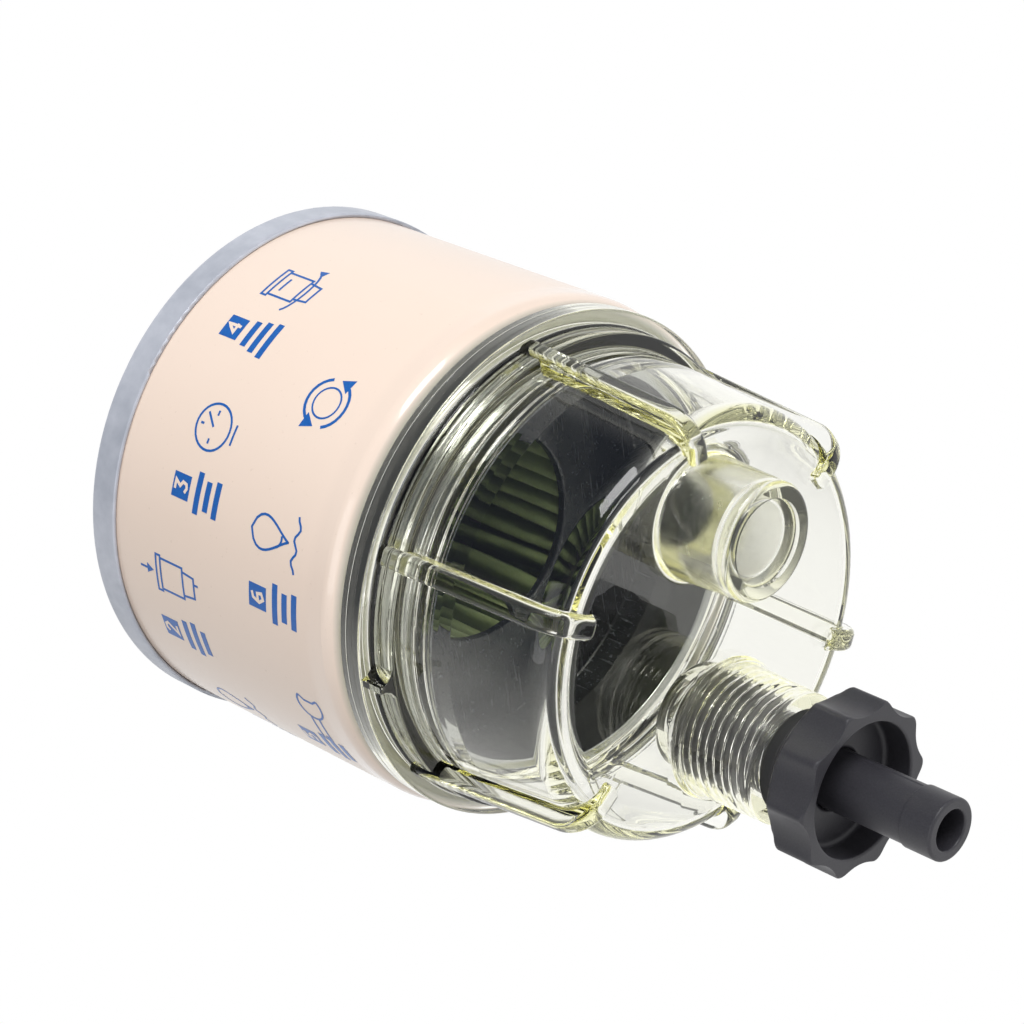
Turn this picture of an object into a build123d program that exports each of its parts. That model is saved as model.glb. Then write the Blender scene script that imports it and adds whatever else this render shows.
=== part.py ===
from build123d import *
from math import pi, tan
import os

# A spin-on fuel water separator in its working position, in millimetres.
# The Z axis is the axis of the can and points up at the engine's filter head. The origin is the mouth of the
# mounting thread, on the upper face of the tapping plate. X points at the sensor boss of the bowl.

# Running and seating clearances
slip = 0.05
sheet_gap = 0.04
ring_gap = 0.1

# Tapping plate with its mounting thread and fuel passages
head_thread_radius = 8.19
neck_wall = 3.3
neck_length = 13.0
neck_root = 0.8
plate_thickness = 3.0
plate_edge_gap = 0.9
passage_count = 8
passage_radius = 3.0
passage_circle_radius = 19.5

# Can, drawn from one sheet
can_radius = 40.0
can_wall = 0.6
can_length = 55.4
can_corner = 3.0
can_edge = 0.25
rim_height = 3.0

# Seam retainer, folded round the can's upper edge
retainer_sheet = 0.66
retainer_bend = 0.55
seam_height = 5.6
bead_height = 2.2
bead_width = 1.4

# Head gasket, set in from the can's side
gasket_inset = 6.0
gasket_width = 5.8
gasket_stand = 1.2
gasket_edge = 0.4

# Filter element, through whose pleats the fuel passes outwards
element_gap = 3.2
grommet_wall = 0.75
grommet_flange_radius = 15.5
grommet_lip_length = 2.4
cap_sheet = 0.8
cap_inset = 6.5
upper_cap_rim = 3.6
pleat_count = 36
pleat_gap = 0.25
media_thickness = 0.6
media_fold_radius = 0.65
outer_fold_width = 1.8
inner_fold_width = 1.5
clip_sheet = 0.3
clip_depth = 2.6
lower_cap_opening_radius = 16.3
lower_cap_floor = 1.4
lower_cap_wall = 1.1
lower_cap_rim = 2.6
lower_cap_edge = 0.5
lower_cap_skirt = 6.4

# Threaded collar in the can's bottom, which carries the bowl
collar_wall = 1.9
collar_reach = 8.3
collar_flange_width = 4.4
collar_flange_thickness = 1.5

# Bowl, one clear moulding, whose flange is set in from the can's side
flange_gap = 0.3
flange_inset = 0.7
flange_height = 4.0
step_inset = 2.5
step_height = 4.1
groove_lip = 2.5
groove_width = 3.5
groove_depth = 2.6
groove_wall = 1.65
bowl_thread_wall = 2.85
bowl_thread_length = 12.5
bowl_waist_taper = 0.2
bowl_waist_drop = 6.7
bowl_waist_blend = 1.0
bowl_foot_taper = 2.0
bowl_wall = 2.5
bowl_corner = 5.0
bowl_inside_depth = 33.3

# Ribs and pointer lug on the bowl
rib_count = 6
rib_thickness = 3.3
rib_flange_inset = 1.5
rib_foot_stand = 2.6
rib_floor_stand = 1.2
rib_floor_reach = 5.9
rib_bend = 6.0
rib_edge = 1.1
rib_bury = 1.2
lug_angle = 271.0
lug_root_width = 6.0
lug_tip_width = 1.5

# Blind sensor boss, set in from the bowl's foot
sensor_inset = 13.1
sensor_base_radius = 9.3
sensor_end_radius = 8.8
sensor_length = 12.35
sensor_flare = 0.6
sensor_edge = 0.4
sensor_recess_radius = 6.4
sensor_recess_depth = 0.9
sensor_core_radius = 5.9
sensor_end_wall = 2.2

# Drain boss with its inside thread and the seat tower in the bowl
drain_offset = 16.25
drain_base_radius = 10.3
drain_end_radius = 10.0
drain_length = 13.8
drain_collar_radius = 10.8
drain_collar_height = 1.2
drain_edge = 0.5
stem_radius = 6.6
tower_wall = 1.35
tower_height = 5.0
seat_thickness = 1.8
seat_radius = 4.2

# Drain valve, one black moulding
stem_top_gap = 0.5
neck_radius = 5.8
seal_width = 2.0
seal_height = 2.4
seal_edge = 0.5
nose_radius = 3.6
nose_height = 2.8
nose_ring_section = 0.7
nose_ring_gap = 0.05
slot_width = 1.6
slot_depth = 1.2
slot_length = 13.0
port_radius = 1.2
port_drop = 8.5
knob_back_radius = 8.0
knob_radius = 13.2
knob_back_height = 3.8
knob_height = 10.3
knob_lobes = 10
knob_scallop_radius = 7.2
knob_valley_radius = 11.7
knob_phase = 28.7
cup_radius = 10.2
cup_depth = 4.8
hose_radius = 4.45
hose_length = 15.5
hose_collar_radius = 4.7
hose_collar_length = 5.5
hose_bore_radius = 3.05
hose_end_chamfer = 0.4

# Levels on the Z axis, worked out from the sizes above
plate_under = -plate_thickness
can_bottom = rim_height - can_length
flange_top = can_bottom - flange_gap
flange_bottom = flange_top - flange_height
step_bottom = flange_bottom - step_height
groove_floor = flange_top - groove_depth
collar_end = can_bottom - collar_reach
cap_top = plate_under - element_gap
media_top = cap_top - cap_sheet
collar_seat = can_bottom + can_wall + collar_flange_thickness
media_bottom = collar_seat + lower_cap_skirt + lower_cap_floor
media_length = media_top - media_bottom
floor_inside = flange_top - bowl_inside_depth
floor_outside = floor_inside - bowl_wall
boss_end = floor_outside - drain_length
seat_level = floor_inside + tower_height - seat_thickness
stem_top = seat_level - stem_top_gap
knob_back = boss_end - seal_height
knob_front = knob_back - knob_height
cup_floor = knob_front + cup_depth
hose_end = knob_front - hose_length

# Radii that follow from a neighbour
neck_outside = head_thread_radius + neck_wall
grommet_lip_radius = neck_outside + grommet_wall
upper_cap_opening_radius = grommet_lip_radius + slip
cap_radius = can_radius - cap_inset
media_inner_radius = lower_cap_opening_radius + pleat_gap
media_outer_radius = cap_radius - lower_cap_wall - clip_sheet - pleat_gap
gasket_outer_radius = can_radius - gasket_inset
gasket_inner_radius = gasket_outer_radius - gasket_width
flange_radius = can_radius - flange_inset
step_radius = flange_radius - step_inset
groove_outer_radius = flange_radius - groove_lip
groove_inner_radius = groove_outer_radius - groove_width
bore_radius = groove_inner_radius - groove_wall
collar_radius = bore_radius - slip
bowl_shoulder_radius = bore_radius + bowl_thread_wall
bowl_waist_radius = bowl_shoulder_radius - bowl_waist_taper
bowl_foot_radius = bowl_shoulder_radius - bowl_foot_taper
sensor_offset = bowl_foot_radius - sensor_inset
drain_bore_radius = stem_radius + slip


def section(outline):
    """Closed face in the XZ plane from corners (radius, height) or (radius, height, rounding)."""
    corners = [Vector(corner[0], 0, corner[1]) for corner in outline]
    face = Face(Wire(Polyline(*corners, close=True).edges()))
    for corner in outline:
        if len(corner) == 3:
            spot = Vector(corner[0], 0, corner[1])
            vertex = min(face.vertices(), key=lambda v: (Vector(*v) - spot).length)
            face = face.fillet_2d(corner[2], [vertex])
    return face


def turned(outline):
    """Solid of revolution about Z from the corners of its section."""
    return revolve(section(outline), Axis.Z)


def pressed(path, thickness, bend):
    """Solid of revolution about Z of a sheet whose middle line runs through the points (radius, height)."""
    line = FilletPolyline(*[(radius, 0, height) for radius, height in path], radius=bend)
    return revolve(Face(Wire(line.edges()).offset_2d(thickness / 2)), Axis.Z)


def ring(inner, outer, low, high, edge=0.0):
    """Ring about Z with a rectangular section whose corners are rounded by edge."""
    corners = [(inner, low), (outer, low), (outer, high), (inner, high)]
    if edge:
        corners = [(radius, height, edge) for radius, height in corners]
    return turned(corners)


def cylinder_between(radius, low, high, x=0.0):
    """Upright cylinder between two levels."""
    upright = Cylinder(radius, high - low, align=(Align.CENTER, Align.CENTER, Align.MIN))
    return Pos(x, 0, low) * upright


def cone_between(low_radius, high_radius, low, high, x=0.0):
    """Upright cone frustum between two levels."""
    upright = Cone(low_radius, high_radius, high - low, align=(Align.CENTER, Align.CENTER, Align.MIN))
    return Pos(x, 0, low) * upright


def around(count, radius, phase=0.0):
    """Places on a circle about Z, each turned to face outwards."""
    return [Rot(0, 0, phase + 360 * index / count) * Pos(radius, 0, 0) for index in range(count)]


def tapping_plate():
    """Thick plate with the mounting thread in a neck drawn down from it, and a ring of fuel passages."""
    plate_radius = can_radius - can_wall - plate_edge_gap
    body = turned([
        (head_thread_radius, 0.0),
        (plate_radius, 0.0),
        (plate_radius, plate_under, 0.5),
        (neck_outside, plate_under, neck_root),
        (neck_outside, -neck_length, 0.6),
        (head_thread_radius, -neck_length),
    ])
    for place in around(passage_count, passage_circle_radius):
        body -= place * cylinder_between(passage_radius, plate_under - 1, 1)
    return body


def can_shell():
    """Drawn steel can, open at the top, with a round opening for the collar in its bottom."""
    top = rim_height - retainer_sheet - sheet_gap
    opening = collar_radius + sheet_gap
    inside = can_radius - can_wall
    return turned([
        (inside, top, can_edge),
        (can_radius, top, can_edge),
        (can_radius, can_bottom, can_corner),
        (opening, can_bottom),
        (opening, can_bottom + can_wall),
        (inside, can_bottom + can_wall, can_corner - can_wall),
    ])


def seam_retainer():
    """Pressed ring folded over the can's edge, with the channel that holds the head gasket."""
    half = retainer_sheet / 2
    hook = can_radius + sheet_gap + half
    wall = can_radius - can_wall - sheet_gap - half
    lip = gasket_inner_radius - slip - half
    bead_inner = gasket_outer_radius + slip + half
    bead_outer = bead_inner + bead_width
    return pressed([
        (hook, rim_height - seam_height + half),
        (hook, rim_height - half),
        (wall, rim_height - half),
        (wall, half),
        (bead_outer, half),
        (bead_outer, bead_height),
        (bead_inner, bead_height),
        (bead_inner, half),
        (lip, half),
        (lip, bead_height),
    ], retainer_sheet, retainer_bend)


def head_gasket():
    """Flat rubber ring in the channel, which stands proud of the rim."""
    high = rim_height + gasket_stand
    return ring(gasket_inner_radius, gasket_outer_radius, retainer_sheet, high, gasket_edge)


def centre_grommet():
    """Rubber bush between the plate's neck and the element's upper cap."""
    lip_end = media_top - grommet_lip_length
    return turned([
        (neck_outside, plate_under, neck_root),
        (grommet_flange_radius, plate_under),
        (grommet_flange_radius, cap_top),
        (grommet_lip_radius, cap_top),
        (grommet_lip_radius, lip_end, 0.3),
        (neck_outside, lip_end),
    ])


def upper_end_cap():
    """Pressed cap over the pleats, with a hole for the grommet and a rim turned down."""
    rim_end = cap_top - upper_cap_rim
    return turned([
        (upper_cap_opening_radius, cap_top),
        (cap_radius, cap_top, cap_sheet),
        (cap_radius, rim_end),
        (cap_radius - cap_sheet, rim_end),
        (cap_radius - cap_sheet, media_top),
        (upper_cap_opening_radius, media_top),
    ])


def pleat_outline(offset):
    """Closed pleated line, moved outwards by offset, as a face in the XY plane."""
    inner = media_inner_radius + media_thickness / 2
    outer = media_outer_radius - media_thickness / 2
    half_pitch = 180 / pleat_count
    corners = []
    for index in range(pleat_count):
        for radius, width, turn in ((outer, outer_fold_width, 0), (inner, inner_fold_width, half_pitch)):
            angle = 90 + 2 * half_pitch * index + turn
            corners.append(Vector(radius, -width / 2, 0).rotate(Axis.Z, angle))
            corners.append(Vector(radius, width / 2, 0).rotate(Axis.Z, angle))
    face = Face(Wire(Polyline(*corners, close=True).edges()))
    face = face.fillet_2d(media_fold_radius, face.vertices())
    return Face(face.outer_wire().offset_2d(offset))


def pleated_media():
    """Pleated paper, one strip folded to and fro and closed to a ring."""
    folds = pleat_outline(media_thickness / 2) - pleat_outline(-media_thickness / 2)
    return Pos(0, 0, media_bottom) * extrude(folds, media_length, dir=(0, 0, 1))


def media_seam_clip():
    """Thin metal clip over the fold where the two ends of the strip meet."""
    reach = clip_depth + clip_sheet
    tip = media_outer_radius + clip_sheet
    root = tip - reach
    width = 2 * root * tan(pi / pleat_count)
    window = Pos(0, root + reach / 2, 0) * Rectangle(width, reach)
    band = pleat_outline(media_thickness / 2 + clip_sheet) - pleat_outline(media_thickness / 2)
    return Pos(0, 0, media_bottom) * extrude(band & window, media_length, dir=(0, 0, 1))


def lower_end_cap():
    """Black ring below the pleats, open in the middle, whose skirt stands on the collar's flange."""
    bottom = media_bottom - lower_cap_floor
    rim_top = media_bottom + lower_cap_rim
    inside = cap_radius - lower_cap_wall
    return turned([
        (lower_cap_opening_radius, bottom, lower_cap_edge),
        (inside, bottom, lower_cap_edge),
        (inside, collar_seat),
        (cap_radius, collar_seat),
        (cap_radius, rim_top, 0.3),
        (inside, rim_top, 0.3),
        (inside, media_bottom),
        (lower_cap_opening_radius, media_bottom),
    ])


def threaded_collar():
    """Plated ring welded inside the can's bottom, whose neck carries the bowl's thread."""
    inside = collar_radius - collar_wall
    outside = collar_radius + collar_flange_width
    flange_low = can_bottom + can_wall
    return turned([
        (inside, collar_seat, 0.5),
        (outside, collar_seat, 0.4),
        (outside, flange_low),
        (collar_radius, flange_low),
        (collar_radius, collar_end, 0.6),
        (inside, collar_end, 0.3),
    ])


def bowl_seal_ring():
    """Rubber ring in the groove of the bowl's flange, pressed on the can's bottom."""
    inner = groove_inner_radius + ring_gap
    outer = groove_outer_radius - ring_gap
    return ring(inner, outer, groove_floor, can_bottom, 0.3)


def bowl_shell():
    """Stepped flange, tapered wall and flat floor of the bowl, as one turned wall."""
    waist = step_bottom - bowl_waist_drop
    thread_end = flange_top - bowl_thread_length
    return turned([
        (bore_radius, flange_top, 0.3),
        (groove_inner_radius, flange_top),
        (groove_inner_radius, groove_floor),
        (groove_outer_radius, groove_floor),
        (groove_outer_radius, flange_top),
        (flange_radius, flange_top, 0.3),
        (flange_radius, flange_bottom, 0.4),
        (step_radius, flange_bottom),
        (step_radius, step_bottom, 0.5),
        (bowl_shoulder_radius, step_bottom, 0.5),
        (bowl_waist_radius, waist),
        (bowl_foot_radius, floor_outside, bowl_corner),
        (0, floor_outside),
        (0, floor_inside),
        (bowl_foot_radius - bowl_wall, floor_inside, bowl_corner - bowl_wall),
        (bowl_waist_radius - bowl_wall, waist - bowl_waist_blend),
        (bore_radius, thread_end),
    ])


def bowl_rib():
    """One rib along +X, from the flange down the wall and round the corner to a blunt end on the floor."""
    top = flange_radius - rib_flange_inset
    foot = bowl_foot_radius + rib_foot_stand
    end = bowl_foot_radius - rib_floor_reach
    low = floor_outside - rib_floor_stand
    buried = floor_outside + rib_bury
    profile = section([
        (bowl_shoulder_radius - rib_bury, flange_bottom),
        (top, flange_bottom),
        (foot, low, rib_bend),
        (end, low, rib_edge),
        (end, buried),
        (bowl_foot_radius - rib_bury, buried, bowl_corner - rib_bury),
    ])
    blank = extrude(profile, rib_thickness / 2, dir=(0, 1, 0), both=True)
    near = 0.1
    sides = blank.edges().filter_by(lambda edge: abs(abs(edge.center().Y) - rib_thickness / 2) < near)
    below = sides.filter_by(lambda edge: edge.center().Z < flange_bottom - near)
    outside = below.filter_by(lambda edge: edge.center().X > bowl_shoulder_radius or edge.center().Z < buried - near)
    return fillet(outside, rib_edge)


def pointer_lug():
    """Fan-shaped lug under the flange, wide at the step and narrow at the flange's edge."""
    root = step_radius - 0.5
    tip = flange_radius - 0.1
    half_root = lug_root_width / 2
    half_tip = lug_tip_width / 2
    middle = (root * 0.35 + tip * 0.65, half_tip + 0.25)
    outline = [
        Line((root, -half_root), (root, half_root)),
        ThreePointArc((root, half_root), middle, (tip, half_tip)),
        Line((tip, half_tip), (tip, -half_tip)),
        ThreePointArc((tip, -half_tip), (middle[0], -middle[1]), (root, -half_root)),
    ]
    fan = Face(Wire([line.edge() for line in outline]))
    blank = extrude(fan, step_height, dir=(0, 0, 1))
    return Rot(0, 0, lug_angle) * Pos(0, 0, step_bottom) * blank


def bowl():
    """Clear bowl with its ribs, lug, blind sensor boss and threaded drain boss, in one moulding."""
    body = bowl_shell()
    for place in around(rib_count, 0.0):
        body += place * bowl_rib()
    body += pointer_lug()

    sensor_end = floor_outside - sensor_length
    sensor = cone_between(sensor_end_radius, sensor_base_radius, sensor_end, floor_outside + 1, sensor_offset)
    body += fillet(sensor.edges().sort_by(Axis.Z)[0], sensor_edge)
    body += cone_between(sensor_base_radius, sensor_base_radius + sensor_flare,
                         floor_outside - sensor_flare, floor_outside + 0.2, sensor_offset)
    body -= cylinder_between(
        sensor_recess_radius, sensor_end - 1, sensor_end + sensor_recess_depth, sensor_offset)
    core_end = sensor_end + sensor_recess_depth + sensor_end_wall
    body -= cylinder_between(sensor_core_radius, core_end, floor_inside + 1, sensor_offset)

    drain = cone_between(drain_end_radius, drain_base_radius, boss_end, floor_outside + 1, -drain_offset)
    body += fillet(drain.edges().sort_by(Axis.Z)[0], drain_edge)
    collar_low = floor_outside - drain_collar_height
    body += cylinder_between(drain_collar_radius, collar_low, floor_outside + 1, -drain_offset)
    tower_radius = drain_bore_radius + tower_wall
    tower_top = floor_inside + tower_height
    body += cylinder_between(tower_radius, floor_inside - 1, tower_top, -drain_offset)
    body -= cylinder_between(drain_bore_radius, boss_end - 1, seat_level, -drain_offset)
    body -= cylinder_between(seat_radius, seat_level - 1, tower_top + 1, -drain_offset)
    return body


def stem_seal_ring():
    """O-ring on the nose of the drain valve, inside the seat hole of the tower."""
    middle = seat_radius - nose_ring_gap - nose_ring_section
    return Pos(-drain_offset, 0, stem_top + nose_height / 2) * Torus(middle, nose_ring_section)


def drain_seal_ring():
    """Rubber ring between the drain boss and the knob."""
    inner = neck_radius + ring_gap
    return Pos(-drain_offset, 0, 0) * ring(inner, inner + seal_width, knob_back, boss_end, seal_edge)


def drain_valve():
    """Threaded stem with its nose, lobed knob and hose tube, in one moulding."""
    groove_radius = seat_radius - nose_ring_gap - 2 * nose_ring_section
    groove_middle = stem_top + nose_height / 2
    groove_half = nose_ring_section + slip
    thread_low = boss_end + 1.0
    body = turned([
        (0, stem_top + nose_height),
        (nose_radius, stem_top + nose_height, 0.3),
        (nose_radius, groove_middle + groove_half),
        (groove_radius, groove_middle + groove_half),
        (groove_radius, groove_middle - groove_half),
        (nose_radius, groove_middle - groove_half),
        (nose_radius, stem_top),
        (stem_radius, stem_top, 0.6),
        (stem_radius, thread_low),
        (neck_radius, thread_low),
        (neck_radius, knob_back),
        (knob_back_radius, knob_back, 0.4),
        (knob_radius, knob_back - knob_back_height, 0.8),
        (knob_radius, knob_front, 0.4),
        (cup_radius, knob_front, 0.4),
        (cup_radius, cup_floor, 0.8),
        (hose_radius, cup_floor, 0.6),
        (hose_radius, hose_end + hose_collar_length),
        (hose_collar_radius, hose_end + hose_collar_length),
        (hose_collar_radius, hose_end, hose_end_chamfer),
        (0, hose_end),
    ])
    scallop = cylinder_between(knob_scallop_radius, knob_front - 1, knob_back + 1)
    for place in around(knob_lobes, knob_valley_radius + knob_scallop_radius, knob_phase - 180 / knob_lobes):
        body -= place * scallop
    port_level = stem_top - port_drop
    body -= cylinder_between(hose_bore_radius, hose_end - 1, port_level)
    body -= Pos(0, 0, port_level - 2 * port_radius) * Rot(90, 0, 0) * Cylinder(port_radius, 4 * stem_radius)
    slot = Box(2 * slot_depth, slot_width, slot_length, align=(Align.CENTER, Align.CENTER, Align.MAX))
    for place in around(2, stem_radius, 90):
        body -= Pos(0, 0, stem_top) * place * slot
    return Pos(-drain_offset, 0, 0) * body


pieces = {
    "tapping_plate": tapping_plate,
    "can_shell": can_shell,
    "seam_retainer": seam_retainer,
    "head_gasket": head_gasket,
    "centre_grommet": centre_grommet,
    "upper_end_cap": upper_end_cap,
    "pleated_media": pleated_media,
    "media_seam_clip": media_seam_clip,
    "lower_end_cap": lower_end_cap,
    "threaded_collar": threaded_collar,
    "bowl_seal_ring": bowl_seal_ring,
    "bowl": bowl,
    "stem_seal_ring": stem_seal_ring,
    "drain_seal_ring": drain_seal_ring,
    "drain_valve": drain_valve,
}

os.makedirs("parts", exist_ok=True)
for name, make in pieces.items():
    export_step(make(), f"parts/{name}.step")
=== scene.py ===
from math import cos, pi, radians, sin

import bmesh
import bpy
import numpy as np
from mathutils import Matrix, Vector


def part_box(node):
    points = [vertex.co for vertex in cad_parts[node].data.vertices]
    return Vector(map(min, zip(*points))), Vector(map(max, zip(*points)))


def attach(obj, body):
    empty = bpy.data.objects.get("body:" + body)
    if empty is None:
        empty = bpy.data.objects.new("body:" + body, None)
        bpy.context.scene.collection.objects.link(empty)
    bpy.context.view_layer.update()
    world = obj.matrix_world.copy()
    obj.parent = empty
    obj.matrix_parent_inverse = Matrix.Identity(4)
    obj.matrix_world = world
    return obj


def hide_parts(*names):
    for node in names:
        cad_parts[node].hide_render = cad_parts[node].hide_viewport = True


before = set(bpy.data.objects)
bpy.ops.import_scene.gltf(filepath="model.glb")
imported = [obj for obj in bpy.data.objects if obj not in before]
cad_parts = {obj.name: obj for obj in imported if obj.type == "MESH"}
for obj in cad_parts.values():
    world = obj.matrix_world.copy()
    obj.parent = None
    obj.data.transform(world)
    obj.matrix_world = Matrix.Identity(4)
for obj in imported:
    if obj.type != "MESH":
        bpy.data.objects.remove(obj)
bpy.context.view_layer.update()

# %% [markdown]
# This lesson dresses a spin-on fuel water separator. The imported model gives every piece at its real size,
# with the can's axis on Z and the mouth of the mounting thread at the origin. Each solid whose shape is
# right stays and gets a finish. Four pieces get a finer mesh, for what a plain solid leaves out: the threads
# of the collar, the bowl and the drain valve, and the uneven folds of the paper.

MM = 0.001


def levels(node):
    """Lowest and highest Z of a node in millimetres."""
    low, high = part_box(node)
    return low[2] / MM, high[2] / MM


def reach(node, axis=0):
    """Highest X, or another axis, of a node in millimetres: the radius of a turned piece."""
    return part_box(node)[1][axis] / MM


can_bottom, can_top = levels("can_shell")
can_radius = reach("can_shell")
bowl_low, flange_top = levels("bowl")
collar_end, collar_top = levels("threaded_collar")
valve_low, nose_top = levels("drain_valve")
media_bottom, media_top = levels("pleated_media")
print("can", round(can_bottom, 2), round(can_top, 2), "bowl", round(bowl_low, 2), round(flange_top, 2))

# %% [markdown]
# Turned pieces are drawn as a profile: a list of corners, each with its radius from the axis, its height and
# the rounding of that corner. An arc takes the place of each corner. Straight runs get extra points close to
# their ends, or the shading of a small arc would spread over the long wall beside it.

# %% Draw rounded profiles
LEAD = 0.12


def unit(vectors):
    """The same directions, each of length 1."""
    return vectors / np.linalg.norm(vectors, axis=-1, keepdims=True)


def corner_arc(before, corner, after, rounding, steps):
    """Points of the arc in a corner. The centre is on the bisector, at rounding / sin(half angle) from the
    corner, and the points turn evenly from the first tangent point to the second."""
    to_before, to_after = unit(before - corner), unit(after - corner)
    half = np.arccos(np.clip(to_before @ to_after, -1, 1)) / 2
    centre = corner + unit(to_before + to_after) * rounding / np.sin(half)
    first = corner + to_before * rounding / np.tan(half) - centre
    last = corner + to_after * rounding / np.tan(half) - centre
    sweep = pi - 2 * half
    part = np.linspace(0, 1, steps + 1)[:, None]
    arc = (np.sin((1 - part) * sweep) * first + np.sin(part * sweep) * last) / np.sin(sweep)
    return centre + arc


def straight(start, end, spacing):
    """Points between two ends, at most spacing apart, with one more close to each end."""
    length = np.linalg.norm(end - start)
    if length < 4 * LEAD:
        return np.empty((0, 2))
    count = max(2, int(np.ceil(length / spacing)) + 1)
    part = np.concatenate([[LEAD / length], np.linspace(0, 1, count)[1:-1], [1 - LEAD / length]])
    return start + part[:, None] * (end - start)


def profile(corners, spacing=4.0, steps=6, closed=False):
    """Profile from corners (radius, height) or (radius, height, rounding) as one array of points."""
    spots = [np.array(corner[:2], float) for corner in corners]
    bends = []
    for index, corner in enumerate(corners):
        if len(corner) == 3:
            after = spots[(index + 1) % len(spots)]
            bends.append(corner_arc(spots[index - 1], spots[index], after, corner[2], steps))
        else:
            bends.append(spots[index][None])
    points = [bends[0]]
    for before, after in zip(bends, bends[1:] + (bends[:1] if closed else [])):
        points += [straight(before[-1], after[0], spacing), after]
    if closed:
        points.pop()
    return np.concatenate(points)


rounded = profile([(1, 0, 0.2), (2, 0, 0.2), (2, 1, 0.2)], closed=True)
print("a rounded triangle has", len(rounded), "points")

# %% [markdown]
# Every new surface is a grid of points. On a turned surface the rows follow the profile and the columns the
# angle. A row on the axis is one point, the pole, once doubles are merged. The mesh is made in one step,
# with its faces turned outwards.

# %% Carry a profile round the axis
CAN_AXIS = (0.0, 0.0)


def xyz(x, y, z):
    """Grid of points from its three coordinates, each spread over the whole grid."""
    return np.stack(np.broadcast_arrays(x, y, z), axis=-1)


def turn(outline, columns, centre=CAN_AXIS):
    """Grid of a surface of revolution: x = radius cos(angle), y = radius sin(angle), z = height."""
    angle = np.linspace(0, 2 * pi, columns, endpoint=False)
    radius, height = outline[:, :1], outline[:, 1:]
    return xyz(centre[0] + radius * np.cos(angle), centre[1] + radius * np.sin(angle), height)


def quads(shape, close_rows, close_columns):
    """Corner numbers of each quad in a grid; a closed direction joins its last line to its first."""
    index = np.arange(shape[0] * shape[1]).reshape(shape[:2])
    if close_rows:
        index = np.vstack([index, index[:1]])
    if close_columns:
        index = np.hstack([index, index[:, :1]])
    around = [index[:-1, :-1], index[:-1, 1:], index[1:, 1:], index[1:, :-1]]
    return np.stack(around, axis=-1).reshape(-1, 4)


def sheet_mesh(name, grid, close_rows=False, close_columns=True):
    """Mesh of a grid in millimetres, turned to metres, with its doubles merged and its faces outwards."""
    mesh = bpy.data.meshes.new(name)
    mesh.from_pydata(grid.reshape(-1, 3) * MM, [], quads(grid.shape, close_rows, close_columns))
    merged = bmesh.new()
    merged.from_mesh(mesh)
    bmesh.ops.remove_doubles(merged, verts=merged.verts, dist=1e-6)
    bmesh.ops.recalc_face_normals(merged, faces=merged.faces)
    merged.to_mesh(mesh)
    merged.free()
    return mesh


print("a 12-sided tube has", len(quads((2, 12), False, True)), "faces")

# %% [markdown]
# Finishes are node trees. Object coordinates are the piece's own place in metres, so a pattern stays on the
# piece when it moves. A small class wraps an output socket, so that maths can be written as plain Python,
# and one method adds any other node.

# %% Write shader maths as Python
class Wire:
    """An output socket. Adding, multiplying or comparing wires and numbers adds Math nodes."""

    def __init__(self, tree, socket):
        self.tree = tree
        self.socket = socket

    def maths(self, operation, first, second):
        return self.tree.add("Math", {0: first, 1: second}, operation=operation)

    def __add__(self, other):
        return self.maths("ADD", self, other)

    def __rsub__(self, other):
        return self.maths("SUBTRACT", other, self)

    def __mul__(self, other):
        return self.maths("MULTIPLY", self, other)

    def __gt__(self, other):
        return self.maths("GREATER_THAN", self, other)

    __radd__ = __add__
    __rmul__ = __mul__


class Tree:
    """The nodes of a material or of the world."""

    def __init__(self, owner):
        owner.use_nodes = True
        self.nodes = owner.node_tree.nodes
        self.links = owner.node_tree.links

    def feed(self, node, values):
        """Links each wire to its socket and writes each plain value there."""
        for key, value in values.items():
            if isinstance(value, Wire):
                self.links.new(value.socket, node.inputs[key])
            else:
                node.inputs[key].default_value = value

    def add(self, kind, values=None, out=0, **settings):
        """Adds a node, sets it up, feeds it and returns one of its outputs as a wire."""
        node = self.nodes.new("ShaderNode" + kind)
        for key, value in settings.items():
            setattr(node, key, value)
        self.feed(node, values or {})
        return Wire(self, node.outputs[out])

    def ramp(self, factor, low, high):
        """0 at low, 1 at high, a straight line between them and level beyond."""
        return self.add("MapRange", {"Value": factor, "From Min": low, "From Max": high}, clamp=True)

    def mix(self, factor, first, second):
        """Colour that goes from the first to the second with the factor."""
        return self.add("Mix", {0: factor, 6: first, 7: second}, out=2, data_type="RGBA")

    def path(self, kind):
        """What the Light Path node says of the ray that asks, such as Is Camera Ray."""
        return self.add("LightPath", out=kind)


class Finish(Tree):
    """A material with a Principled BSDF. Plain values go straight to its sockets."""

    def __init__(self, name, **plain):
        self.material = bpy.data.materials.new(name)
        super().__init__(self.material)
        self.surface = self.nodes["Principled BSDF"]
        self.output = self.nodes["Material Output"]
        self.set(**plain)

    def __str__(self):
        return self.material.name

    def set(self, **values):
        """Feeds sockets of the Principled BSDF, with an underscore for each space in their names."""
        self.feed(self.surface, {key.replace("_", " "): value for key, value in values.items()})

    def shader(self):
        """The Principled BSDF's own output."""
        return Wire(self, self.surface.outputs[0])

    def place(self, stretch=(1, 1, 1)):
        """Object coordinates, stretched by a Mapping node."""
        return self.add("Mapping", {"Vector": self.add("TexCoord", out="Object"), "Scale": stretch})

    def noise(self, scale, detail=3.0, stretch=(1, 1, 1)):
        """Fractal noise with scale features to the metre."""
        values = {"Vector": self.place(stretch), "Scale": scale, "Detail": detail, "Roughness": 0.55}
        return self.add("TexNoise", values)

    def bump(self, height, depth, strength=1.0):
        """Bump whose full height is depth in metres, fed to the Normal socket."""
        values = {"Height": height, "Distance": depth, "Strength": strength}
        self.set(Normal=self.add("Bump", values))


def rgb(red, green, blue):
    """Opaque colour in Blender's linear values."""
    return (red, green, blue, 1.0)

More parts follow.
